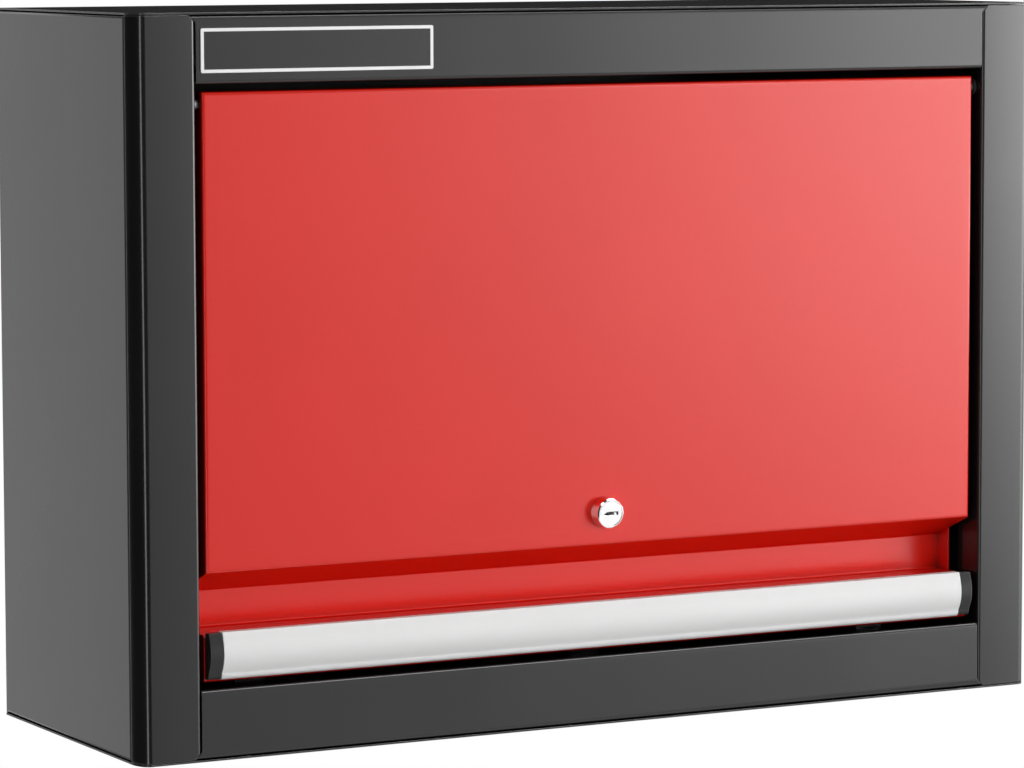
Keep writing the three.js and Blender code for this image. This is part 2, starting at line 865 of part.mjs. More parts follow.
// Lock, turned about Y with places counted back from the door's face
function lockHousing() {
  const bore = plugRadius + runningGap;
  const mouth = plugFaceRadius + runningGap;
  const seat = -lockProud + plugInset + plugFaceThickness + runningGap;
  const profile = [
    [mouth, -lockProud],
    [lockFaceRadius - lockBevel, -lockProud],
    [lockFaceRadius, -lockProud + lockBevel],
    [lockBaseRadius, -lockBevel],
    [lockBaseRadius, -seatGap],
    [lockBarrelRadius, -seatGap],
    [lockBarrelRadius, lockBarrelLength],
    [bore, lockBarrelLength],
    [bore, seat],
    [mouth, seat],
    [mouth, -lockProud],
  ];
  return turned(profile, roundSteps);
}

// The keyway is a level slit that tapers to the left, with a ward that stands up near its right end
function keywayOutline() {
  const right = keywayWidth / 2;
  const high = keywayHeight / 2;
  const wardRight = right - wardInset;
  const wardLeft = wardRight - wardWidth;
  return points([
    [-right, -high],
    [wardLeft, -high],
    [wardLeft, wardHeight - high],
    [wardRight, wardHeight - high],
    [wardRight, -high],
    [right, -high],
    [right, high],
    [keywayTaper - right, high],
    [-right, keywayTip - high],
  ]);
}

function lockPlug() {
  const tailStart = lockBarrelLength + seatGap;
  const tailEnd = tailStart + seatGap + camThickness;
  const front = -lockProud + plugInset;
  const shoulder = front + plugFaceThickness;
  const profile = [
    [0, front],
    [plugFaceRadius, front],
    [plugFaceRadius, shoulder],
    [plugRadius, shoulder],
    [plugRadius, tailStart],
    [plugTailRadius, tailStart],
    [plugTailRadius, tailEnd],
    [0, tailEnd],
  ];
  const keyway = extrudedAlongY(keywayOutline(), front - overrun, front + keywayDepth);
  const holeRadius = camScrewRadius + runningGap;
  const holeStart = tailEnd - camScrewLength - seatGap;
  const screwHole = rodAlongY(0, 0, holeRadius, holeStart, tailEnd + overrun);
  return cutFrom(turned(profile, roundSteps), [keyway, screwHole]);
}

function lockNut() {
  const hexSteps = 6;
  const cornerRadius = lockNutFlats / 2 / Math.cos(Math.PI / hexSteps);
  const hexagon = circle(0, 0, cornerRadius, hexSteps);
  hexagon.holes.push(circle(0, 0, lockBarrelRadius + runningGap, roundSteps));
  return extrudedAlongY(hexagon, sheet + seatGap, sheet + seatGap + lockNutThickness);
}

// Cam: a pear-shaped plate with a pin, which stands at 45 degrees above the level at rest
function lockCam() {
  const direction = Math.PI / 4;
  const spread = Math.acos((camHubRadius - camTipRadius) / camThrow);
  const shape = new THREE.Shape();
  shape.absarc(camPinX, camPinX, camTipRadius, direction - spread, direction + spread);
  shape.absarc(0, 0, camHubRadius, direction + spread, direction - spread + Math.PI * 2);
  const outline = new THREE.Shape(withoutRepeats(shape.getPoints(cornerSteps)));
  outline.holes.push(circle(0, 0, plugTailRadius + runningGap, roundSteps));
  const camStart = camFrontY - faceY;
  const plate = extrudedAlongY(outline, camStart, camStart + camThickness);
  const pinEnd = barUpperRearY + seatGap - faceY;
  const pin = rodAlongY(camPinX, camPinX, camPinRadius, camStart + camThickness / 2, pinEnd);
  return joined([plate, pin]);
}

function camScrew() {
  const start = camRearY - faceY + seatGap;
  const profile = [
    [0, start - camScrewLength],
    [camScrewRadius, start - camScrewLength],
    [camScrewRadius, start],
    [camScrewHeadRadius, start],
    [camScrewHeadRadius, start + camScrewHeadHeight / 2],
    [camScrewHeadRadius / 2, start + camScrewHeadHeight],
    [0, start + camScrewHeadHeight],
  ];
  return turned(profile, smallRoundSteps);
}

// Lock bar: a flat bar, cranked back to pass behind the recess, with a cross slot for the cam's pin
function lockBar() {
  const jogDepth = barLowerY - barUpperY;
  const corners = [
    [barUpperY, barTopZ],
    [barUpperY, barJogZ],
    [barLowerY, barJogZ - jogDepth],
    [barLowerY, barEndZ],
  ];
  const outline = foldedOutline(corners, barThickness, foldRadius);
  const bar = extrudedAlongX(outline, barLeft, barRight);
  const reach = camPinRadius + barSlotGap;
  const slotZ = lockZ + camPinX;
  const slot = block(
    [camPinX - reach, barUpperY - overrun, slotZ - reach],
    [camThrow + reach, barUpperRearY + overrun, slotZ + reach],
  );
  return cutFrom(bar, [slot]);
}

function barGuide(footY, barRearY, lowZ) {
  const half = barHalfWidth + guideGap + sheet;
  const foot = footY + seatGap + sheet;
  const bridge = barRearY + guideGap + sheet;
  const corners = [
    [barCentre + half + guideFoot, foot],
    [barCentre + half, foot],
    [barCentre + half, bridge],
    [barCentre - half, bridge],
    [barCentre - half, foot],
    [barCentre - half - guideFoot, foot],
  ];
  return extrudedAlongZ(foldedOutline(corners, sheet, seatGap), lowZ, lowZ + guideHeight);
}

function keeper() {
  const high = openingBottom - sheet - seatGap;
  const low = high - keeperThickness;
  const plate = block(
    [barLeft - keeperMargin, barLowerY - keeperMargin, low],
    [barRight + keeperMargin, barLowerRearY + keeperMargin, high],
  );
  const slot = block(
    [barLeft - keeperSlotGap, barLowerY - keeperSlotGap, low - overrun],
    [barRight + keeperSlotGap, barLowerRearY + keeperSlotGap, high + overrun],
  );
  return cutFrom(plate, [slot]);
}

// Door stops
const bufferFrontY = recessY + seatGap;
const stopFaceY = bufferFrontY + bufferLength + seatGap;
const stopX = openingHalf - stopInset;

function doorStop(side) {
  const foot = openingBottom + seatGap;
  const middle = side * stopX;
  const corners = [
    [stopFaceY, foot + stopHeight],
    [stopFaceY, foot],
    [stopFaceY + stopFoot, foot],
  ];
  const outline = foldedOutline(corners, sheet, foldRadius);
  return extrudedAlongX(outline, middle - stopWidth / 2, middle + stopWidth / 2);
}

function buffer() {
  const taperShare = 0.85;
  const profile = [
    [0, 0],
    [bufferRadius * taperShare, 0],
    [bufferRadius, bufferLength / 2],
    [bufferRadius, bufferLength],
    [0, bufferLength],
  ];
  return turned(profile, smallRoundSteps);
}

// Gas struts
const bracketX = openingHalf + sheet + seatGap;
const eyeOuterX = strutX + strutEyeWidth / 2;
const eyeInnerX = strutX - strutEyeWidth / 2;
const earOuterX = doorFlangeInnerX - seatGap;
const earInnerX = earOuterX - bracketThickness;

function strutBracket(side) {
  const shape = new THREE.Shape();
  shape.moveTo(frontY + bracketFrontInset, strutBodyZ - bracketHalfHeight);
  shape.lineTo(strutBodyY, strutBodyZ - bracketRearMargin);
  shape.absarc(strutBodyY, strutBodyZ, bracketRearMargin, -Math.PI / 2, Math.PI / 2);
  shape.lineTo(frontY + bracketFrontInset, strutBodyZ + bracketHalfHeight);
  const outline = new THREE.Shape(withoutRepeats(shape.getPoints(cornerSteps)));
  outline.holes.push(circle(strutBodyY, strutBodyZ, studRadius + runningGap, roundSteps));
  return extrudedAlongX(outline, ...spanOnSide(side, bracketX, bracketX + bracketThickness));
}

function bodyStud(side) {
  const headStart = bracketX + bracketThickness + seatGap;
  const profile = [
    [0, eyeInnerX - seatGap - studHeadLength],
    [studCollarRadius, eyeInnerX - seatGap - studHeadLength],
    [studCollarRadius, eyeInnerX - seatGap],
    [studRadius, eyeInnerX - seatGap],
    [studRadius, eyeOuterX + studCollarGap],
    [studCollarRadius, eyeOuterX + studCollarGap],
    [studCollarRadius, bracketX - seatGap],
    [studRadius, bracketX - seatGap],
    [studRadius, headStart],
    [studCollarRadius, headStart],
    [studCollarRadius, headStart + studHeadLength],
    [0, headStart + studHeadLength],
  ];
  return turnedAcross(profile, side);
}

function doorEar(side) {
  const lowY = faceY + earFrontInset;
  const edgeY = faceY + doorFlange - earRearMargin;
  const shape = new THREE.Shape();
  shape.moveTo(lowY, strutDoorZ - earHalfHeight);
  shape.lineTo(edgeY, strutDoorZ - earHalfHeight);
  shape.absarc(strutDoorY, strutDoorZ, earTipRadius, -Math.PI / 4, Math.PI / 4);
  shape.lineTo(edgeY, strutDoorZ + earHalfHeight);
  shape.lineTo(lowY, strutDoorZ + earHalfHeight);
  const outline = new THREE.Shape(withoutRepeats(shape.getPoints(cornerSteps)));
  outline.holes.push(circle(strutDoorY, strutDoorZ, studRadius + runningGap, roundSteps));
  return extrudedAlongX(outline, ...spanOnSide(side, earInnerX, earOuterX));
}

function doorStud(side) {
  const profile = [
    [0, eyeOuterX + studCollarGap],
    [studCollarRadius, eyeOuterX + studCollarGap],
    [studCollarRadius, earInnerX - seatGap],
    [studRadius, earInnerX - seatGap],
    [studRadius, earOuterX],
    [0, earOuterX],
  ];
  return turnedAcross(profile, side);
}

// The pieces of a strut lie along Y from the eye on the cabinet, in a group that is turned
function strutEye(place, towards) {
  const ring = circle(place, 0, strutEyeRadius, roundSteps);
  ring.holes.push(circle(place, 0, studRadius + runningGap, roundSteps));
  const eye = extrudedAlongX(ring, -strutEyeWidth / 2, strutEyeWidth / 2);
  const neckStart = place + towards * (strutEyeRadius - sheet);
  const neckEnd = place + towards * (strutEyeRadius + strutNeckLength);
  const low = Math.min(neckStart, neckEnd);
  const high = Math.max(neckStart, neckEnd);
  const radius = strutNeckRadius;
  const neck = turned([[0, low], [radius, low], [radius, high], [0, high]], smallRoundSteps);
  return joined([eye, neck]);
}

const tubeStart = strutEyeRadius + strutNeckLength + seatGap;
const rodTop = strutLength - strutEyeRadius - strutNeckLength - seatGap;
const tubeEnd = rodTop - strutRodShowing;

function strutTube() {
  const bore = strutTubeRadius - strutTubeWall;
  const throat = strutRodRadius + runningGap;
  const bevel = strutTubeWall;
  const profile = [
    [0, tubeStart],
    [strutTubeRadius - bevel, tubeStart],
    [strutTubeRadius, tubeStart + bevel],
    [strutTubeRadius, tubeEnd - bevel],
    [strutTubeRadius - bevel, tubeEnd],
    [throat, tubeEnd],
    [throat, tubeEnd - strutTubeWall],
    [bore, tubeEnd - strutTubeWall],
    [bore, tubeStart + strutTubeWall],
    [0, tubeStart + strutTubeWall],
  ];
  return turned(profile, roundSteps);
}

function strutRod() {
  const pistonStart = tubeStart + strutTubeWall + strutPistonGap;
  const pistonRadius = strutTubeRadius - strutTubeWall - runningGap;
  const profile = [
    [0, pistonStart],
    [pistonRadius, pistonStart],
    [pistonRadius, pistonStart + strutPistonLength],
    [strutRodRadius, pistonStart + strutPistonLength],
    [strutRodRadius, rodTop],
    [0, rodTop],
  ];
  return turned(profile, roundSteps);
}

function strut(side, word) {
  const group = new THREE.Group();
  group.position.set(side * strutX, strutBodyY, strutBodyZ);
  group.rotation.x = strutAngle;
  group.add(
    piece(`strut_${word}_tube_end`, strutEye(0, 1), 'cap'),
    piece(`strut_${word}_tube`, strutTube(), 'tube'),
    piece(`strut_${word}_rod`, strutRod(), 'chrome'),
    piece(`strut_${word}_rod_end`, strutEye(strutLength, -1), 'cap'),
  );
  return group;
}

// Blank badge: a plate with a raised rim around a plain field
function badgePlate() {
  const left = -openingHalf + badgeSideGap;
  const high = topZ - badgeBelowTop;
  const right = left + badgeWidth;
  const low = high - badgeHeight;
  const rearFace = frontY - badgeSeat;
  const frontFace = rearFace - badgeThickness;
  const plate = roundedRectangle(left, low, right, high, badgeCornerRadius);
  const field = block(
    [left + badgeRim, frontFace - overrun, low + badgeRim],
    [right - badgeRim, frontFace + badgeFieldDepth, high - badgeRim],
  );
  return cutFrom(extrudedAlongY(plate, frontFace, rearFace), [field]);
}

// Assembly
const sides = [[-1, 'left'], [1, 'right']];

function casing() {
  const group = new THREE.Group();
  group.add(
    piece('top_panel', cover(topZ - sheet, topZ, topZ - rearFlange, topZ), 'top'),
    piece('bottom_panel', cover(bottomZ, bottomZ + sheet, bottomZ, bottomZ + rearFlange), 'top'),
    piece('back_panel', backPanel(), 'frame'),
    piece('hanging_rail', hangingRail(), 'frame'),
    piece('top_rail', topRail(), 'frame'),
    piece('bottom_rail', bottomRail(), 'frame'),
    piece('badge_plate', badgePlate(), 'badge'),
    piece('shelf', shelf(), 'casing'),
    piece('lock_keeper', keeper(), 'zinc'),
  );
  for (const [side, word] of sides) {
    group.add(
      piece(`post_${word}`, post(side), 'frame'),
      piece(`side_panel_${word}`, sidePanel(side), 'casing'),
      piece(`shelf_support_${word}`, shelfSupport(side), 'zinc'),
      piece(`hinge_bush_${word}`, hingeBush(side).translate(0, hingeY, hingeZ), 'nylon'),
      piece(`strut_bracket_${word}`, strutBracket(side), 'zinc'),
      piece(`strut_stud_${word}`, bodyStud(side).translate(0, strutBodyY, strutBodyZ), 'zinc'),
      piece(`door_stop_${word}`, doorStop(side), 'zinc'),
      stopBuffer(side, word),
      ...shelfScrews(side, word),
    );
  }
  return group;
}

function stopBuffer(side, word) {
  const made = piece(`buffer_${word}`, buffer(), 'rubber');
  made.position.set(side * stopX, bufferFrontY, openingBottom + stopHeight - bufferRadius);
  return made;
}

function shelfScrews(side, word) {
  return ['front', 'rear'].map((end, index) => {
    const made = piece(`shelf_screw_${word}_${end}`, shelfScrew(), 'zinc');
    made.position.set(side * shelfScrewX, shelfScrewYs[index], 0);
    return made;
  });
}

function door() {
  const group = new THREE.Group();
  const upperGuideZ = lockZ + upperGuideAboveLock;
  const lowerGuideZ = recessTop - lowerGuideBelowRecess - guideHeight;
  group.add(
    piece('door_skin', doorSkin(), 'door'),
    piece('handle_profile', handleProfile(), 'aluminium'),
    piece('bar_guide_upper', barGuide(skinBackY, barUpperRearY, upperGuideZ), 'zinc'),
    piece('bar_guide_lower', barGuide(recessBackY, barLowerRearY, lowerGuideZ), 'zinc'),
  );
  for (const [side, word] of sides) {
    const screw = piece(`handle_screw_${word}`, handleScrew(), 'zinc');
    screw.position.set(side * handleScrewX, gripY + sheet, handleMiddle);
    group.add(
      screw,
      piece(`handle_cap_${word}`, handleCap(side), 'cap'),
      piece(`door_stiffener_${word}`, stiffener(side), 'door'),
      piece(`hinge_pin_${word}`, hingePin(side).translate(0, hingeY, hingeZ), 'zinc'),
      piece(`strut_ear_${word}`, doorEar(side), 'zinc'),
      piece(`door_stud_${word}`, doorStud(side).translate(0, strutDoorY, strutDoorZ), 'zinc'),
    );
  }
  return group;
}

function lock() {
  const group = new THREE.Group();
  group.position.set(0, faceY, lockZ);
  group.add(
    piece('lock_housing', lockHousing(), 'chrome'),
    piece('lock_nut', lockNut(), 'zinc'),
    piece('lock_plug', lockPlug(), 'chrome'),
    piece('lock_cam', lockCam(), 'zinc'),
    piece('cam_screw', camScrew(), 'zinc'),
  );
  return group;
}

const cabinet = new THREE.Group();
cabinet.add(casing(), door(), lock(), piece('lock_bar', lockBar(), 'zinc'));
for (const [side, word] of sides) {
  cabinet.add(strut(side, word));
}

export default cabinet;
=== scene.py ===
import json
import math
from dataclasses import dataclass, field

import bmesh
import bpy
from mathutils import Matrix, Vector


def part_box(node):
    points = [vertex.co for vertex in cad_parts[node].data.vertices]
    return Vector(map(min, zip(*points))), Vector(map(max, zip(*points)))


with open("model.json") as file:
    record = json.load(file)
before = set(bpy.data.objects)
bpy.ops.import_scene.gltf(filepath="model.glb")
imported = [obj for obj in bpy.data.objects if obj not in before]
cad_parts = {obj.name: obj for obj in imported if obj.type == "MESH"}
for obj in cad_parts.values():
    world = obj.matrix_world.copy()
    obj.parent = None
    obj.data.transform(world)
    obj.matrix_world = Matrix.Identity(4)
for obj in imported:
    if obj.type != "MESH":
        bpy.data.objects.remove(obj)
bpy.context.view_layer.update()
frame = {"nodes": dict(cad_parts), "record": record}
NODES = frame["nodes"]

# Lengths are in metres, in the cabinet's own frame: the wall is at Y 0 and the front faces -Y.
# Angles are in degrees. A pair of levels is where a soft step starts and where it ends.
MM = 0.001
CABINET_MIDDLE = (0, -0.12, 0)

# Camera, fitted to the corners of the cabinet in the photograph
CAMERA_PLACE = (-1.557, -3.015, 0.309)
CAMERA_YAW = 28.107
CAMERA_PITCH = 5.74
CAMERA_ROLL = -0.13
CAMERA_LENS_MM = 161.7
SENSOR_MM = 36

# Floor: a disc well below the cabinet, which fades out towards its rim
FLOOR_Z = -0.8
FLOOR_RADIUS = 2.0
FLOOR_FADE_START = 0.7
FLOOR_SIDES = 96
FLOOR_COLOUR = (0.78, 0.78, 0.78)
FLOOR_MOTTLE = 0.02
FLOOR_MOTTLE_SCALE = 9.0
FLOOR_GLOW = 0.5

# Lamps, which all face the cabinet's middle
LAMPS = {
    "key": {"place": (2.1, -2.7, 0.4), "width": 2.2, "height": 1.7, "radiance": 4.4},
    "fill": {"place": (-0.5, -3.2, 0.6), "width": 1.8, "height": 1.2, "radiance": 2.7},
    "top": {"place": (0.0, -1.2, 2.4), "width": 1.6, "height": 1.6, "radiance": 0.5},
    "rim": {"place": (-1.5, 2.6, 0.4), "width": 1.5, "height": 2.2, "radiance": 1.8},
}

# The even light on matt surfaces, which rises with the elevation that it comes from
AMBIENT_BELOW = 0.1
AMBIENT_ABOVE = 0.36
AMBIENT_RISE = (-40, 25)

# What shiny surfaces mirror. An azimuth runs from the front to the viewer's right, and the
# flags and the strip have soft edges that reach SOFT_EDGE to either side.
WHITE = 1.0
BLACK = 0.02
FLAG_AZIMUTHS = ((-155, -50), (-34, 20))
STRIP_AZIMUTHS = (-47, -37)
STRIP_RADIANCE = 4.0
SOFT_EDGE = 2

# The key light in the mirrored studio: each pair is where it is out and where it is full
KEY_RADIANCE = 11.0
KEY_LEFT = (28.5, 39.5)
KEY_RIGHT = (85, 70)
KEY_LOW = (-10.3, -1)
KEY_HIGH = (8, 2.5)

# A flag towards the wall and a light overhead: their directions, and cosines of the angle to them
WALL_FLAG = (0.46, 0.88, 0.1)
WALL_FLAG_COSINES = (0.8, 0.95)
OVERHEAD = (0.47, -0.1, 0.87)
OVERHEAD_COSINES = (0.93, 0.98)
OVERHEAD_RADIANCE = 9.0

# Smooth shading
SMOOTH_ANGLE = 38
MERGE_DISTANCE = 0.002 * MM
LARGE_FACES_LEAD = 100

# Clouds are the slow variation of a surface and grain is its fine one. Noise runs from 0 to 1.
CLOUD_DETAIL = 3.0
CLOUD_TONES = (0.3, 0.7)
CLOUD_GLOSS = (0.25, 0.75)
GRAIN_DETAIL = 2.0
NOISE_MIDDLE = 0.5
RELIEF_STRENGTH = 0.5

# Edge tint (wear, painted highlight and painted shade) and painted shade in crevices
PROBE_SAMPLES = 6
EDGE_RADIUS = 0.7 * MM
EDGE_TURNS = (0.02, 0.2)
EDGE_TINT_PATCHES = (0.35, 0.65)
EDGE_TINT_SHARES = (0.4, 1.0)
CREVICE_REACH = 14 * MM
CREVICE_SHARES = (0.12, 0.62)
CREVICE_SHADE = 0.03

# The plate on the top rail
BADGE_RIM = 2.2 * MM
BADGE_RIM_EDGE = 0.15 * MM
BADGE_FIELD = (0.008, 0.008, 0.008)

# A Mix node has inputs of the same name for each type of value, so its colours go by number
MIX_COLOURS = (6, 7)
MIX_RESULT = 2


def link(obj):
    bpy.context.scene.collection.objects.link(obj)
    return obj


def camera_rotation(yaw, pitch, roll):
    """Yaw turns the camera to the right, pitch tips it down."""
    turn = Matrix.Rotation(math.radians(-yaw), 4, "Z")
    tip = Matrix.Rotation(math.radians(90 - pitch), 4, "X")
    lean = Matrix.Rotation(math.radians(roll), 4, "Z")
    return turn @ tip @ lean


def add_camera():
    data = bpy.data.cameras.new("camera")
    data.sensor_width = SENSOR_MM
    data.lens = CAMERA_LENS_MM
    camera = link(bpy.data.objects.new("camera", data))
    view = camera_rotation(CAMERA_YAW, CAMERA_PITCH, CAMERA_ROLL)
    camera.matrix_world = Matrix.Translation(CAMERA_PLACE) @ view
    bpy.context.scene.camera = camera


class Builder:
    """Adds nodes to a tree. An input given as a socket is linked, and any other is set."""

    def __init__(self, tree):
        self.tree = tree

    def fill(self, socket, value):
        if isinstance(value, bpy.types.NodeSocket):
            self.tree.links.new(value, socket)
        else:
            socket.default_value = value

    def add(self, kind, inputs=None, **settings):
        node = self.tree.nodes.new(kind)
        for key, value in settings.items():
            setattr(node, key, value)
        for key, value in (inputs or {}).items():
            self.fill(node.inputs[key], value)
        return node

    def math(self, operation, *values, clamp=False):
        settings = {"operation": operation, "use_clamp": clamp}
        return self.add("ShaderNodeMath", dict(enumerate(values)), **settings).outputs[0]

    def measure(self, operation, *vectors):
        """The dot product of two vectors, or the length of one."""
        inputs = dict(enumerate(vectors))
        return self.add("ShaderNodeVectorMath", inputs, operation=operation).outputs["Value"]

    def mix(self, factor, *colours):
        inputs = {"Factor": factor, **dict(zip(MIX_COLOURS, colours))}
        return self.add("ShaderNodeMix", inputs, data_type="RGBA").outputs[MIX_RESULT]

    def ramp(self, value, low, high, to_low=0.0, to_high=1.0):
        """A soft step: to_low where the value is low, to_high where it is high."""
        inputs = {
            "Value": value, "From Min": low, "From Max": high, "To Min": to_low, "To Max": to_high,
        }
        settings = {"interpolation_type": "SMOOTHSTEP"}
        return self.add("ShaderNodeMapRange", inputs, **settings).outputs["Result"]

    def coordinates(self, kind):
        return self.add("ShaderNodeTexCoord").outputs[kind]

    def parts(self, vector):
        """The X, the Y and the Z of a vector."""
        return self.add("ShaderNodeSeparateXYZ", {0: vector}).outputs

    def noise(self, place, scale, detail):
        inputs = {"Vector": place, "Scale": scale, "Detail": detail}
        return self.add("ShaderNodeTexNoise", inputs).outputs["Fac"]


def blank_shader(owner):
    """Empties the node tree of a material or of the world."""
    owner.use_nodes = True
    owner.node_tree.nodes.clear()
    return Builder(owner.node_tree)


def seen_by(shader, *kinds):
    """1 for these kinds of ray, 0 for any other."""
    path = shader.add("ShaderNodeLightPath")
    seen = 0.0
    for kind in kinds:
        seen = shader.math("ADD", seen, path.outputs[f"Is {kind} Ray"], clamp=True)
    return seen


def rgba(colour):
    return (*colour, 1.0)


def grey(value):
    return (value, value, value)


def tinted(colour, factor):
    return tuple(min(channel * factor, 1.0) for channel in colour)


def shades(colour, spread):
    """The colour made darker and made lighter by a share of itself."""
    return rgba(tinted(colour, 1 - spread)), rgba(tinted(colour, 1 + spread))


@dataclass
class Look:
    """The finish of a surface.

    The clouds move the colour by the share `spread` and the roughness by `roughness_spread`. The
    grain is `relief` high, brings in the speckles' colour by `speckle`, and moves the roughness
    by `fine`. Edges take an edge tint by a share: it paints a highlight along the edges of the
    dark and grey paints and the caps, paints shade along the red paint's edges, and is wear on the
    other finishes. Painted shade can darken the crevices.
    """

    colour: tuple
    spread: float
    speckle: float
    roughness: float
    relief: float
    edge_tint: tuple
    edge_tint_share: float
    roughness_spread: float = 0.04
    fine: float = 0.04
    speckle_colour: tuple = None
    cloud_scale: float = 6.0
    grain_scale: float = 450.0
    stretch: tuple = (1, 1, 1)
    edge_radius: float = EDGE_RADIUS
    painted_crevice_shade: bool = False
    sockets: dict = field(default_factory=dict)


def rounded_normal(shader, radius):
    bevel = shader.add("ShaderNodeBevel", {"Radius": radius}, samples=PROBE_SAMPLES)
    return bevel.outputs["Normal"]


def edge_mask(shader, radius):
    """1 along convex and concave edges within the radius, 0 on flat faces."""
    rounded = rounded_normal(shader, radius)
    flat = shader.add("ShaderNodeNewGeometry").outputs["True Normal"]
    sameness = shader.measure("DOT_PRODUCT", rounded, flat)
    return shader.ramp(shader.math("SUBTRACT", 1.0, sameness), *EDGE_TURNS)


def painted_shade_mask(shader):
    """0 deep in a narrow gap and 1 in the open: where painted shade darkens the colour."""
    inputs = {"Distance": CREVICE_REACH}
    probe = shader.add("ShaderNodeAmbientOcclusion", inputs, samples=PROBE_SAMPLES)
    return shader.ramp(probe.outputs["AO"], *CREVICE_SHARES)


def surface_colour(shader, look, cloud, grain):
    clouded = shader.mix(shader.ramp(cloud, *CLOUD_TONES), *shades(look.colour, look.spread))
    speckles = shader.math("MULTIPLY", grain, look.speckle)
    colour = shader.mix(speckles, clouded, rgba(look.speckle_colour or look.colour))
    # Edge tint: a painted highlight on the dark and grey paints and the caps, painted shade on the
    # red paint, and wear on the other finishes.
    edges = edge_mask(shader, look.edge_radius)
    patches = shader.math("MULTIPLY", edges, shader.ramp(cloud, *EDGE_TINT_PATCHES, *EDGE_TINT_SHARES))
    edge_tint_share = shader.math("MULTIPLY", patches, look.edge_tint_share)
    # Painted shade: the colour darkens towards black deep in narrow gaps, where shade falls.
    if look.painted_crevice_shade:
        shade = rgba(tinted(look.colour, CREVICE_SHADE))
        colour = shader.mix(painted_shade_mask(shader), shade, colour)
    return shader.mix(edge_tint_share, colour, rgba(look.edge_tint))


def surface_roughness(shader, look, cloud, grain):
    low = look.roughness - look.roughness_spread
    high = look.roughness + look.roughness_spread
    slow = shader.ramp(cloud, *CLOUD_GLOSS, low, high)
    fine = shader.math("MULTIPLY", shader.math("SUBTRACT", grain, NOISE_MIDDLE), look.fine)
    return shader.math("ADD", slow, fine, clamp=True)


def surface_normal(shader, look, grain):
    """The relief of the grain, over edges that catch the light as if they were rounded."""
    return shader.add("ShaderNodeBump", {
        "Height": grain,
        "Distance": look.relief,
        "Strength": RELIEF_STRENGTH,
        "Normal": rounded_normal(shader, look.edge_radius),
    }).outputs["Normal"]


def surface(name, look):
    """A procedural material with this look, fixed to the object's own coordinates."""
    material = bpy.data.materials.new(name)
    shader = blank_shader(material)
    own = shader.coordinates("Object")
    stretched = shader.add("ShaderNodeMapping", {"Vector": own, "Scale": look.stretch})
    cloud = shader.noise(own, look.cloud_scale, CLOUD_DETAIL)
    grain = shader.noise(stretched.outputs["Vector"], look.grain_scale, GRAIN_DETAIL)
    principled = shader.add("ShaderNodeBsdfPrincipled", {
        "Base Color": surface_colour(shader, look, cloud, grain),
        "Roughness": surface_roughness(shader, look, cloud, grain),
        "Normal": surface_normal(shader, look, grain),
        **look.sockets,
    })
    shader.add("ShaderNodeOutputMaterial", {"Surface": principled.outputs["BSDF"]})
    return material


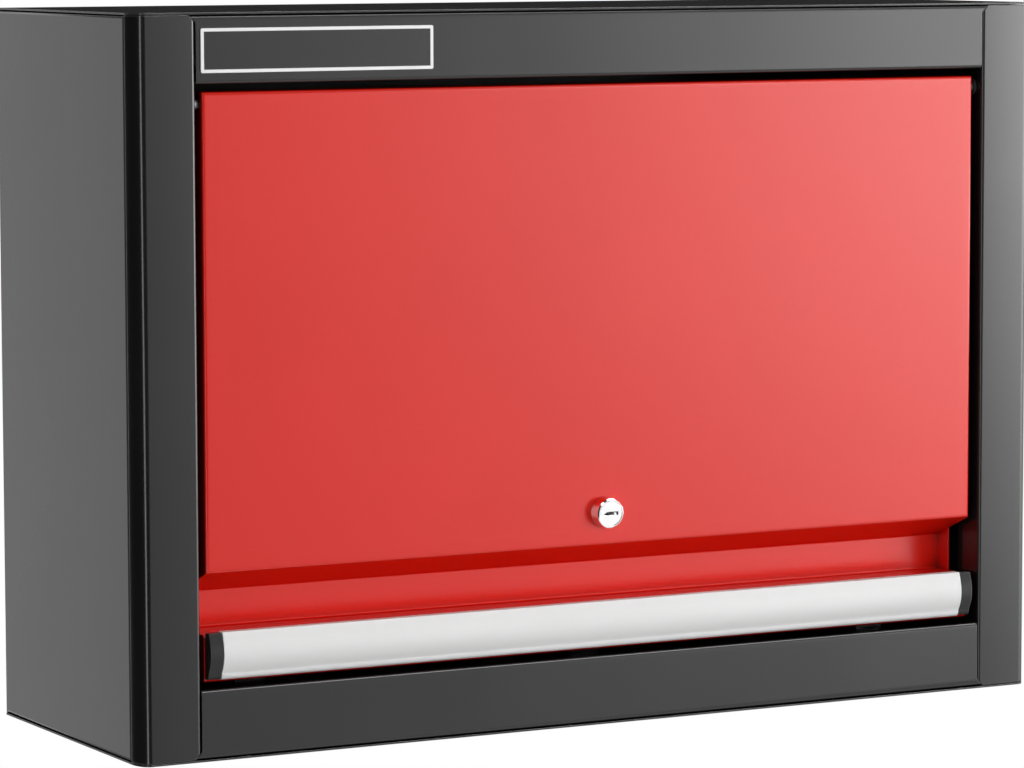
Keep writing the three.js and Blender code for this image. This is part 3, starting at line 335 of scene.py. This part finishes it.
def slot_looks():
    """The look of each material slot of the record."""
    metal = {"Metallic": 1.0}
    satin_metal = {"Metallic": 0.5}
    brushed_along_x = (0.02, 1, 1)
    orange_peel = {
        "grain_scale": 260.0, "relief": 0.003 * MM, "roughness_spread": 0.015, "fine": 0.004,
    }
    return {
        # Painted highlight along the edges and painted shade in the crevices.
        "dark_paint": Look(
            colour=grey(0.011), spread=0.1, speckle=0.1, roughness=0.2, edge_tint=grey(0.3), edge_tint_share=0.8,
            painted_crevice_shade=True, **orange_peel,
        ),
        # Painted highlight along the edges and painted shade in the crevices.
        "grey_paint": Look(
            colour=grey(0.062), spread=0.08, speckle=0.05, roughness=0.22, edge_tint=grey(0.3),
            edge_tint_share=0.4, painted_crevice_shade=True, sockets={"Specular IOR Level": 0.6}, **orange_peel,
        ),
        # Painted shade: darker edges and darker crevices.
        "red_paint": Look(
            colour=(0.72, 0.01, 0.002), spread=0.02, speckle=0.05, roughness=0.23,
            edge_tint=(0.2, 0.001, 0.001), edge_tint_share=0.6, painted_crevice_shade=True,
            sockets={"Specular IOR Level": 0.56}, **orange_peel,
        ),
        "aluminium": Look(
            colour=grey(0.7), spread=0.02, speckle=0.08, speckle_colour=grey(0.6),
            roughness=0.65, relief=0.004 * MM, edge_tint=grey(0.95), edge_tint_share=0.9, grain_scale=900.0,
            stretch=brushed_along_x, sockets=satin_metal,
        ),
        "chrome": Look(
            colour=grey(0.9), spread=0.02, speckle=0.03, roughness=0.09, roughness_spread=0.02,
            fine=0.02, relief=0.001 * MM, edge_tint=grey(0.95), edge_tint_share=0.1, edge_radius=0.25 * MM,
            sockets=metal,
        ),
        # Painted shade in the crevices.
        "zinc": Look(
            colour=(0.5, 0.51, 0.53), spread=0.08, speckle=0.25, roughness=0.36,
            roughness_spread=0.06, fine=0.06, relief=0.01 * MM, edge_tint=grey(0.7), edge_tint_share=0.3,
            cloud_scale=60.0, grain_scale=260.0, painted_crevice_shade=True, sockets=metal,
        ),
        # Painted highlight: light edges on the dark cap.
        "cap_plastic": Look(
            colour=grey(0.018), spread=0.1, speckle=0.2, roughness=0.45, relief=0.006 * MM,
            edge_tint=grey(0.4), edge_tint_share=0.8, grain_scale=900.0, sockets={"Specular IOR Level": 0.3},
        ),
        "rubber": Look(
            colour=grey(0.004), spread=0.12, speckle=0.25, roughness=0.82, relief=0.01 * MM,
            edge_tint=grey(0.01), edge_tint_share=0.3, grain_scale=700.0, sockets={"Specular IOR Level": 0.2},
        ),
        "nylon": Look(
            colour=grey(0.02), spread=0.06, speckle=0.1, roughness=0.45, relief=0.01 * MM,
            edge_tint=grey(0.08), edge_tint_share=0.3,
        ),
        "strut_paint": Look(
            colour=grey(0.014), spread=0.1, speckle=0.1, roughness=0.2, relief=0.006 * MM,
            edge_tint=grey(0.08), edge_tint_share=0.4,
        ),
        "badge": Look(
            colour=grey(0.96), spread=0.02, speckle=0.04, roughness=0.24, roughness_spread=0.01,
            fine=0.003, relief=0.001 * MM, edge_tint=grey(1.0), edge_tint_share=0.2, grain_scale=260.0,
            edge_radius=0.2 * MM,
        ),
    }


def make_materials():
    """One material for each slot of the record, under the slot's name."""
    materials = {name: surface(name, look) for name, look in slot_looks().items()}
    darken_badge_field(materials["badge"])
    return materials


def darken_badge_field(material):
    """Leaves the plate's own colour on its rim, and makes the field inside plain and dark."""
    shader = Builder(material.node_tree)
    low, high = (Vector(corner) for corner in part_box("badge_plate"))
    centre = (low + high) / 2
    reach = (high - low) / 2
    across, _, up = shader.parts(shader.coordinates("Object"))
    inside = 1.0
    for place, middle, half in ((across, centre.x, reach.x), (up, centre.z, reach.z)):
        distance = shader.math("ABSOLUTE", shader.math("SUBTRACT", place, middle))
        inner = half - BADGE_RIM
        within = shader.ramp(distance, inner + BADGE_RIM_EDGE, inner - BADGE_RIM_EDGE)
        inside = shader.math("MULTIPLY", inside, within)
    principled = next(node for node in material.node_tree.nodes if node.type == "BSDF_PRINCIPLED")
    socket = principled.inputs["Base Color"]
    rim_colour = socket.links[0].from_socket
    shader.fill(socket, shader.mix(inside, rim_colour, rgba(BADGE_FIELD)))


def smoothing_tree():
    """Joins split vertices and shades smooth across every edge that is not sharp."""
    tree = bpy.data.node_groups.new("smooth_shading", "GeometryNodeTree")
    for direction in ("INPUT", "OUTPUT"):
        tree.interface.new_socket("Geometry", in_out=direction, socket_type="NodeSocketGeometry")
    builder = Builder(tree)
    split = builder.add("NodeGroupInput").outputs[0]
    joined = builder.add("GeometryNodeMergeByDistance", {
        "Geometry": split, "Distance": MERGE_DISTANCE,
    }).outputs[0]
    turn = builder.add("GeometryNodeInputMeshEdgeAngle").outputs["Unsigned Angle"]
    sharp = builder.add("FunctionNodeCompare", {
        "A": turn, "B": math.radians(SMOOTH_ANGLE),
    }, data_type="FLOAT", operation="GREATER_THAN").outputs[0]
    smooth = builder.add("GeometryNodeSetShadeSmooth", {
        "Geometry": joined, "Shade Smooth": True,
    }, domain="FACE").outputs[0]
    creased = builder.add("GeometryNodeSetShadeSmooth", {
        "Geometry": smooth, "Selection": sharp, "Shade Smooth": False,
    }, domain="EDGE").outputs[0]
    builder.add("NodeGroupOutput", {0: creased})
    return tree


def shade_smooth(obj, tree):
    modifier = obj.modifiers.new("smooth_shading", "NODES")
    modifier.node_group = tree
    weighted = obj.modifiers.new("weighted_normals", "WEIGHTED_NORMAL")
    weighted.keep_sharp = True
    weighted.weight = LARGE_FACES_LEAD


def assign(obj, material):
    obj.data.materials.clear()
    obj.data.materials.append(material)


def dress_cad_nodes(materials):
    tree = smoothing_tree()
    for subpart in frame["record"]["subparts"]:
        node = NODES[subpart["node"]]
        assign(node, materials[subpart["material_slot"]])
        shade_smooth(node, tree)


def towards(shader, sky, direction, cosines):
    """1 in one direction of the sky, fading to 0 around it."""
    cosine = shader.measure("DOT_PRODUCT", sky, tuple(Vector(direction).normalized()))
    return shader.ramp(cosine, *cosines)


def between(shader, angle, low, high):
    """1 between two angles and 0 outside them, with a soft edge at each."""
    rise = shader.ramp(angle, math.radians(low - SOFT_EDGE), math.radians(low + SOFT_EDGE))
    fall = shader.ramp(angle, math.radians(high + SOFT_EDGE), math.radians(high - SOFT_EDGE))
    return shader.math("MULTIPLY", rise, fall)


def even_colour(shader, light):
    inputs = {"Red": light, "Green": light, "Blue": light}
    return shader.add("ShaderNodeCombineColor", inputs).outputs[0]


def ambient(shader):
    """The light that falls on matt surfaces from all round."""
    _, _, up = shader.parts(shader.coordinates("Generated"))
    rise = map(math.radians, AMBIENT_RISE)
    light = shader.ramp(shader.math("ARCSINE", up), *rise, AMBIENT_BELOW, AMBIENT_ABOVE)
    return even_colour(shader, light)


def mirrored_studio(shader):
    """A white surround with dark flags, a narrow strip, a large soft key and a light overhead."""
    sky = shader.coordinates("Generated")
    across, back, up = shader.parts(sky)
    azimuth = shader.math("ARCTAN2", across, shader.math("MULTIPLY", back, -1.0))
    elevation = shader.math("ARCSINE", up)

    dark = towards(shader, sky, WALL_FLAG, WALL_FLAG_COSINES)
    for ends in FLAG_AZIMUTHS:
        dark = shader.math("MAXIMUM", dark, between(shader, azimuth, *ends))
    light = shader.ramp(dark, 0.0, 1.0, WHITE, BLACK)

    strip = between(shader, azimuth, *STRIP_AZIMUTHS)
    light = shader.math("ADD", light, shader.math("MULTIPLY", strip, STRIP_RADIANCE))

    key = KEY_RADIANCE
    sides = ((azimuth, KEY_LEFT), (azimuth, KEY_RIGHT), (elevation, KEY_LOW), (elevation, KEY_HIGH))
    for angle, ends in sides:
        key = shader.math("MULTIPLY", key, shader.ramp(angle, *map(math.radians, ends)))
    light = shader.math("ADD", light, key)

    overhead = towards(shader, sky, OVERHEAD, OVERHEAD_COSINES)
    light = shader.math("ADD", light, shader.math("MULTIPLY", overhead, OVERHEAD_RADIANCE))
    return even_colour(shader, light)


def add_world():
    """White to the camera, a studio to shiny surfaces, and an even light to matt ones."""
    world = bpy.data.worlds.new("studio")
    bpy.context.scene.world = world
    shader = blank_shader(world)
    mirrored = seen_by(shader, "Glossy", "Transmission")
    lit = shader.mix(mirrored, ambient(shader), mirrored_studio(shader))
    colour = shader.mix(seen_by(shader, "Camera"), lit, rgba(grey(WHITE)))
    background = shader.add("ShaderNodeBackground", {"Color": colour})
    shader.add("ShaderNodeOutputWorld", {"Surface": background.outputs[0]})


def softbox(name, place, width, height, radiance):
    """An area lamp that faces the cabinet. Its power follows from how bright its face is.

    Shiny surfaces mirror the world's lights and not the lamp itself.
    """
    data = bpy.data.lights.new(name, "AREA")
    data.shape = "RECTANGLE"
    data.size = width
    data.size_y = height
    data.energy = radiance * math.pi * width * height
    lamp = link(bpy.data.objects.new(name, data))
    lamp.visible_glossy = False
    away = Vector(place) - Vector(CABINET_MIDDLE)
    facing = away.to_track_quat("Z", "Y").to_matrix().to_4x4()
    lamp.matrix_world = Matrix.Translation(place) @ facing


def add_lamps():
    for name, lamp in LAMPS.items():
        softbox(name, **lamp)


def floor_material():
    """Pale and matt from above, with a glow for the rays that see or mirror it, and clear from
    below and out at the rim."""
    material = bpy.data.materials.new("floor")
    shader = blank_shader(material)
    own = shader.coordinates("Object")
    fade = shader.ramp(shader.measure("LENGTH", own), FLOOR_FADE_START, FLOOR_RADIUS)
    mottle = shader.noise(own, FLOOR_MOTTLE_SCALE, CLOUD_DETAIL)
    tone = shader.mix(mottle, *shades(FLOOR_COLOUR, FLOOR_MOTTLE))
    seen = seen_by(shader, "Camera", "Glossy", "Transmission")
    strength = shader.math("MULTIPLY", seen, FLOOR_GLOW)
    glow = shader.add("ShaderNodeEmission", {"Strength": strength}).outputs[0]
    diffuse = shader.add("ShaderNodeBsdfDiffuse", {"Color": tone}).outputs[0]
    pale = shader.add("ShaderNodeAddShader", {0: diffuse, 1: glow}).outputs[0]
    clear = shader.add("ShaderNodeBsdfTransparent").outputs[0]
    below = shader.add("ShaderNodeNewGeometry").outputs["Backfacing"]
    unseen = shader.math("MAXIMUM", fade, below)
    mixed = shader.add("ShaderNodeMixShader", {0: unseen, 1: pale, 2: clear}).outputs[0]
    shader.add("ShaderNodeOutputMaterial", {"Surface": mixed})
    return material


def add_floor():
    mesh = bpy.data.meshes.new("floor")
    shape = bmesh.new()
    bmesh.ops.create_circle(shape, cap_ends=True, segments=FLOOR_SIDES, radius=FLOOR_RADIUS)
    shape.to_mesh(mesh)
    shape.free()
    floor = link(bpy.data.objects.new("floor", mesh))
    floor.location = (*CABINET_MIDDLE[:2], FLOOR_Z)
    assign(floor, floor_material())


add_camera()
add_world()
add_lamps()
add_floor()
dress_cad_nodes(make_materials())
bpy.context.scene.view_settings.view_transform = "Standard"
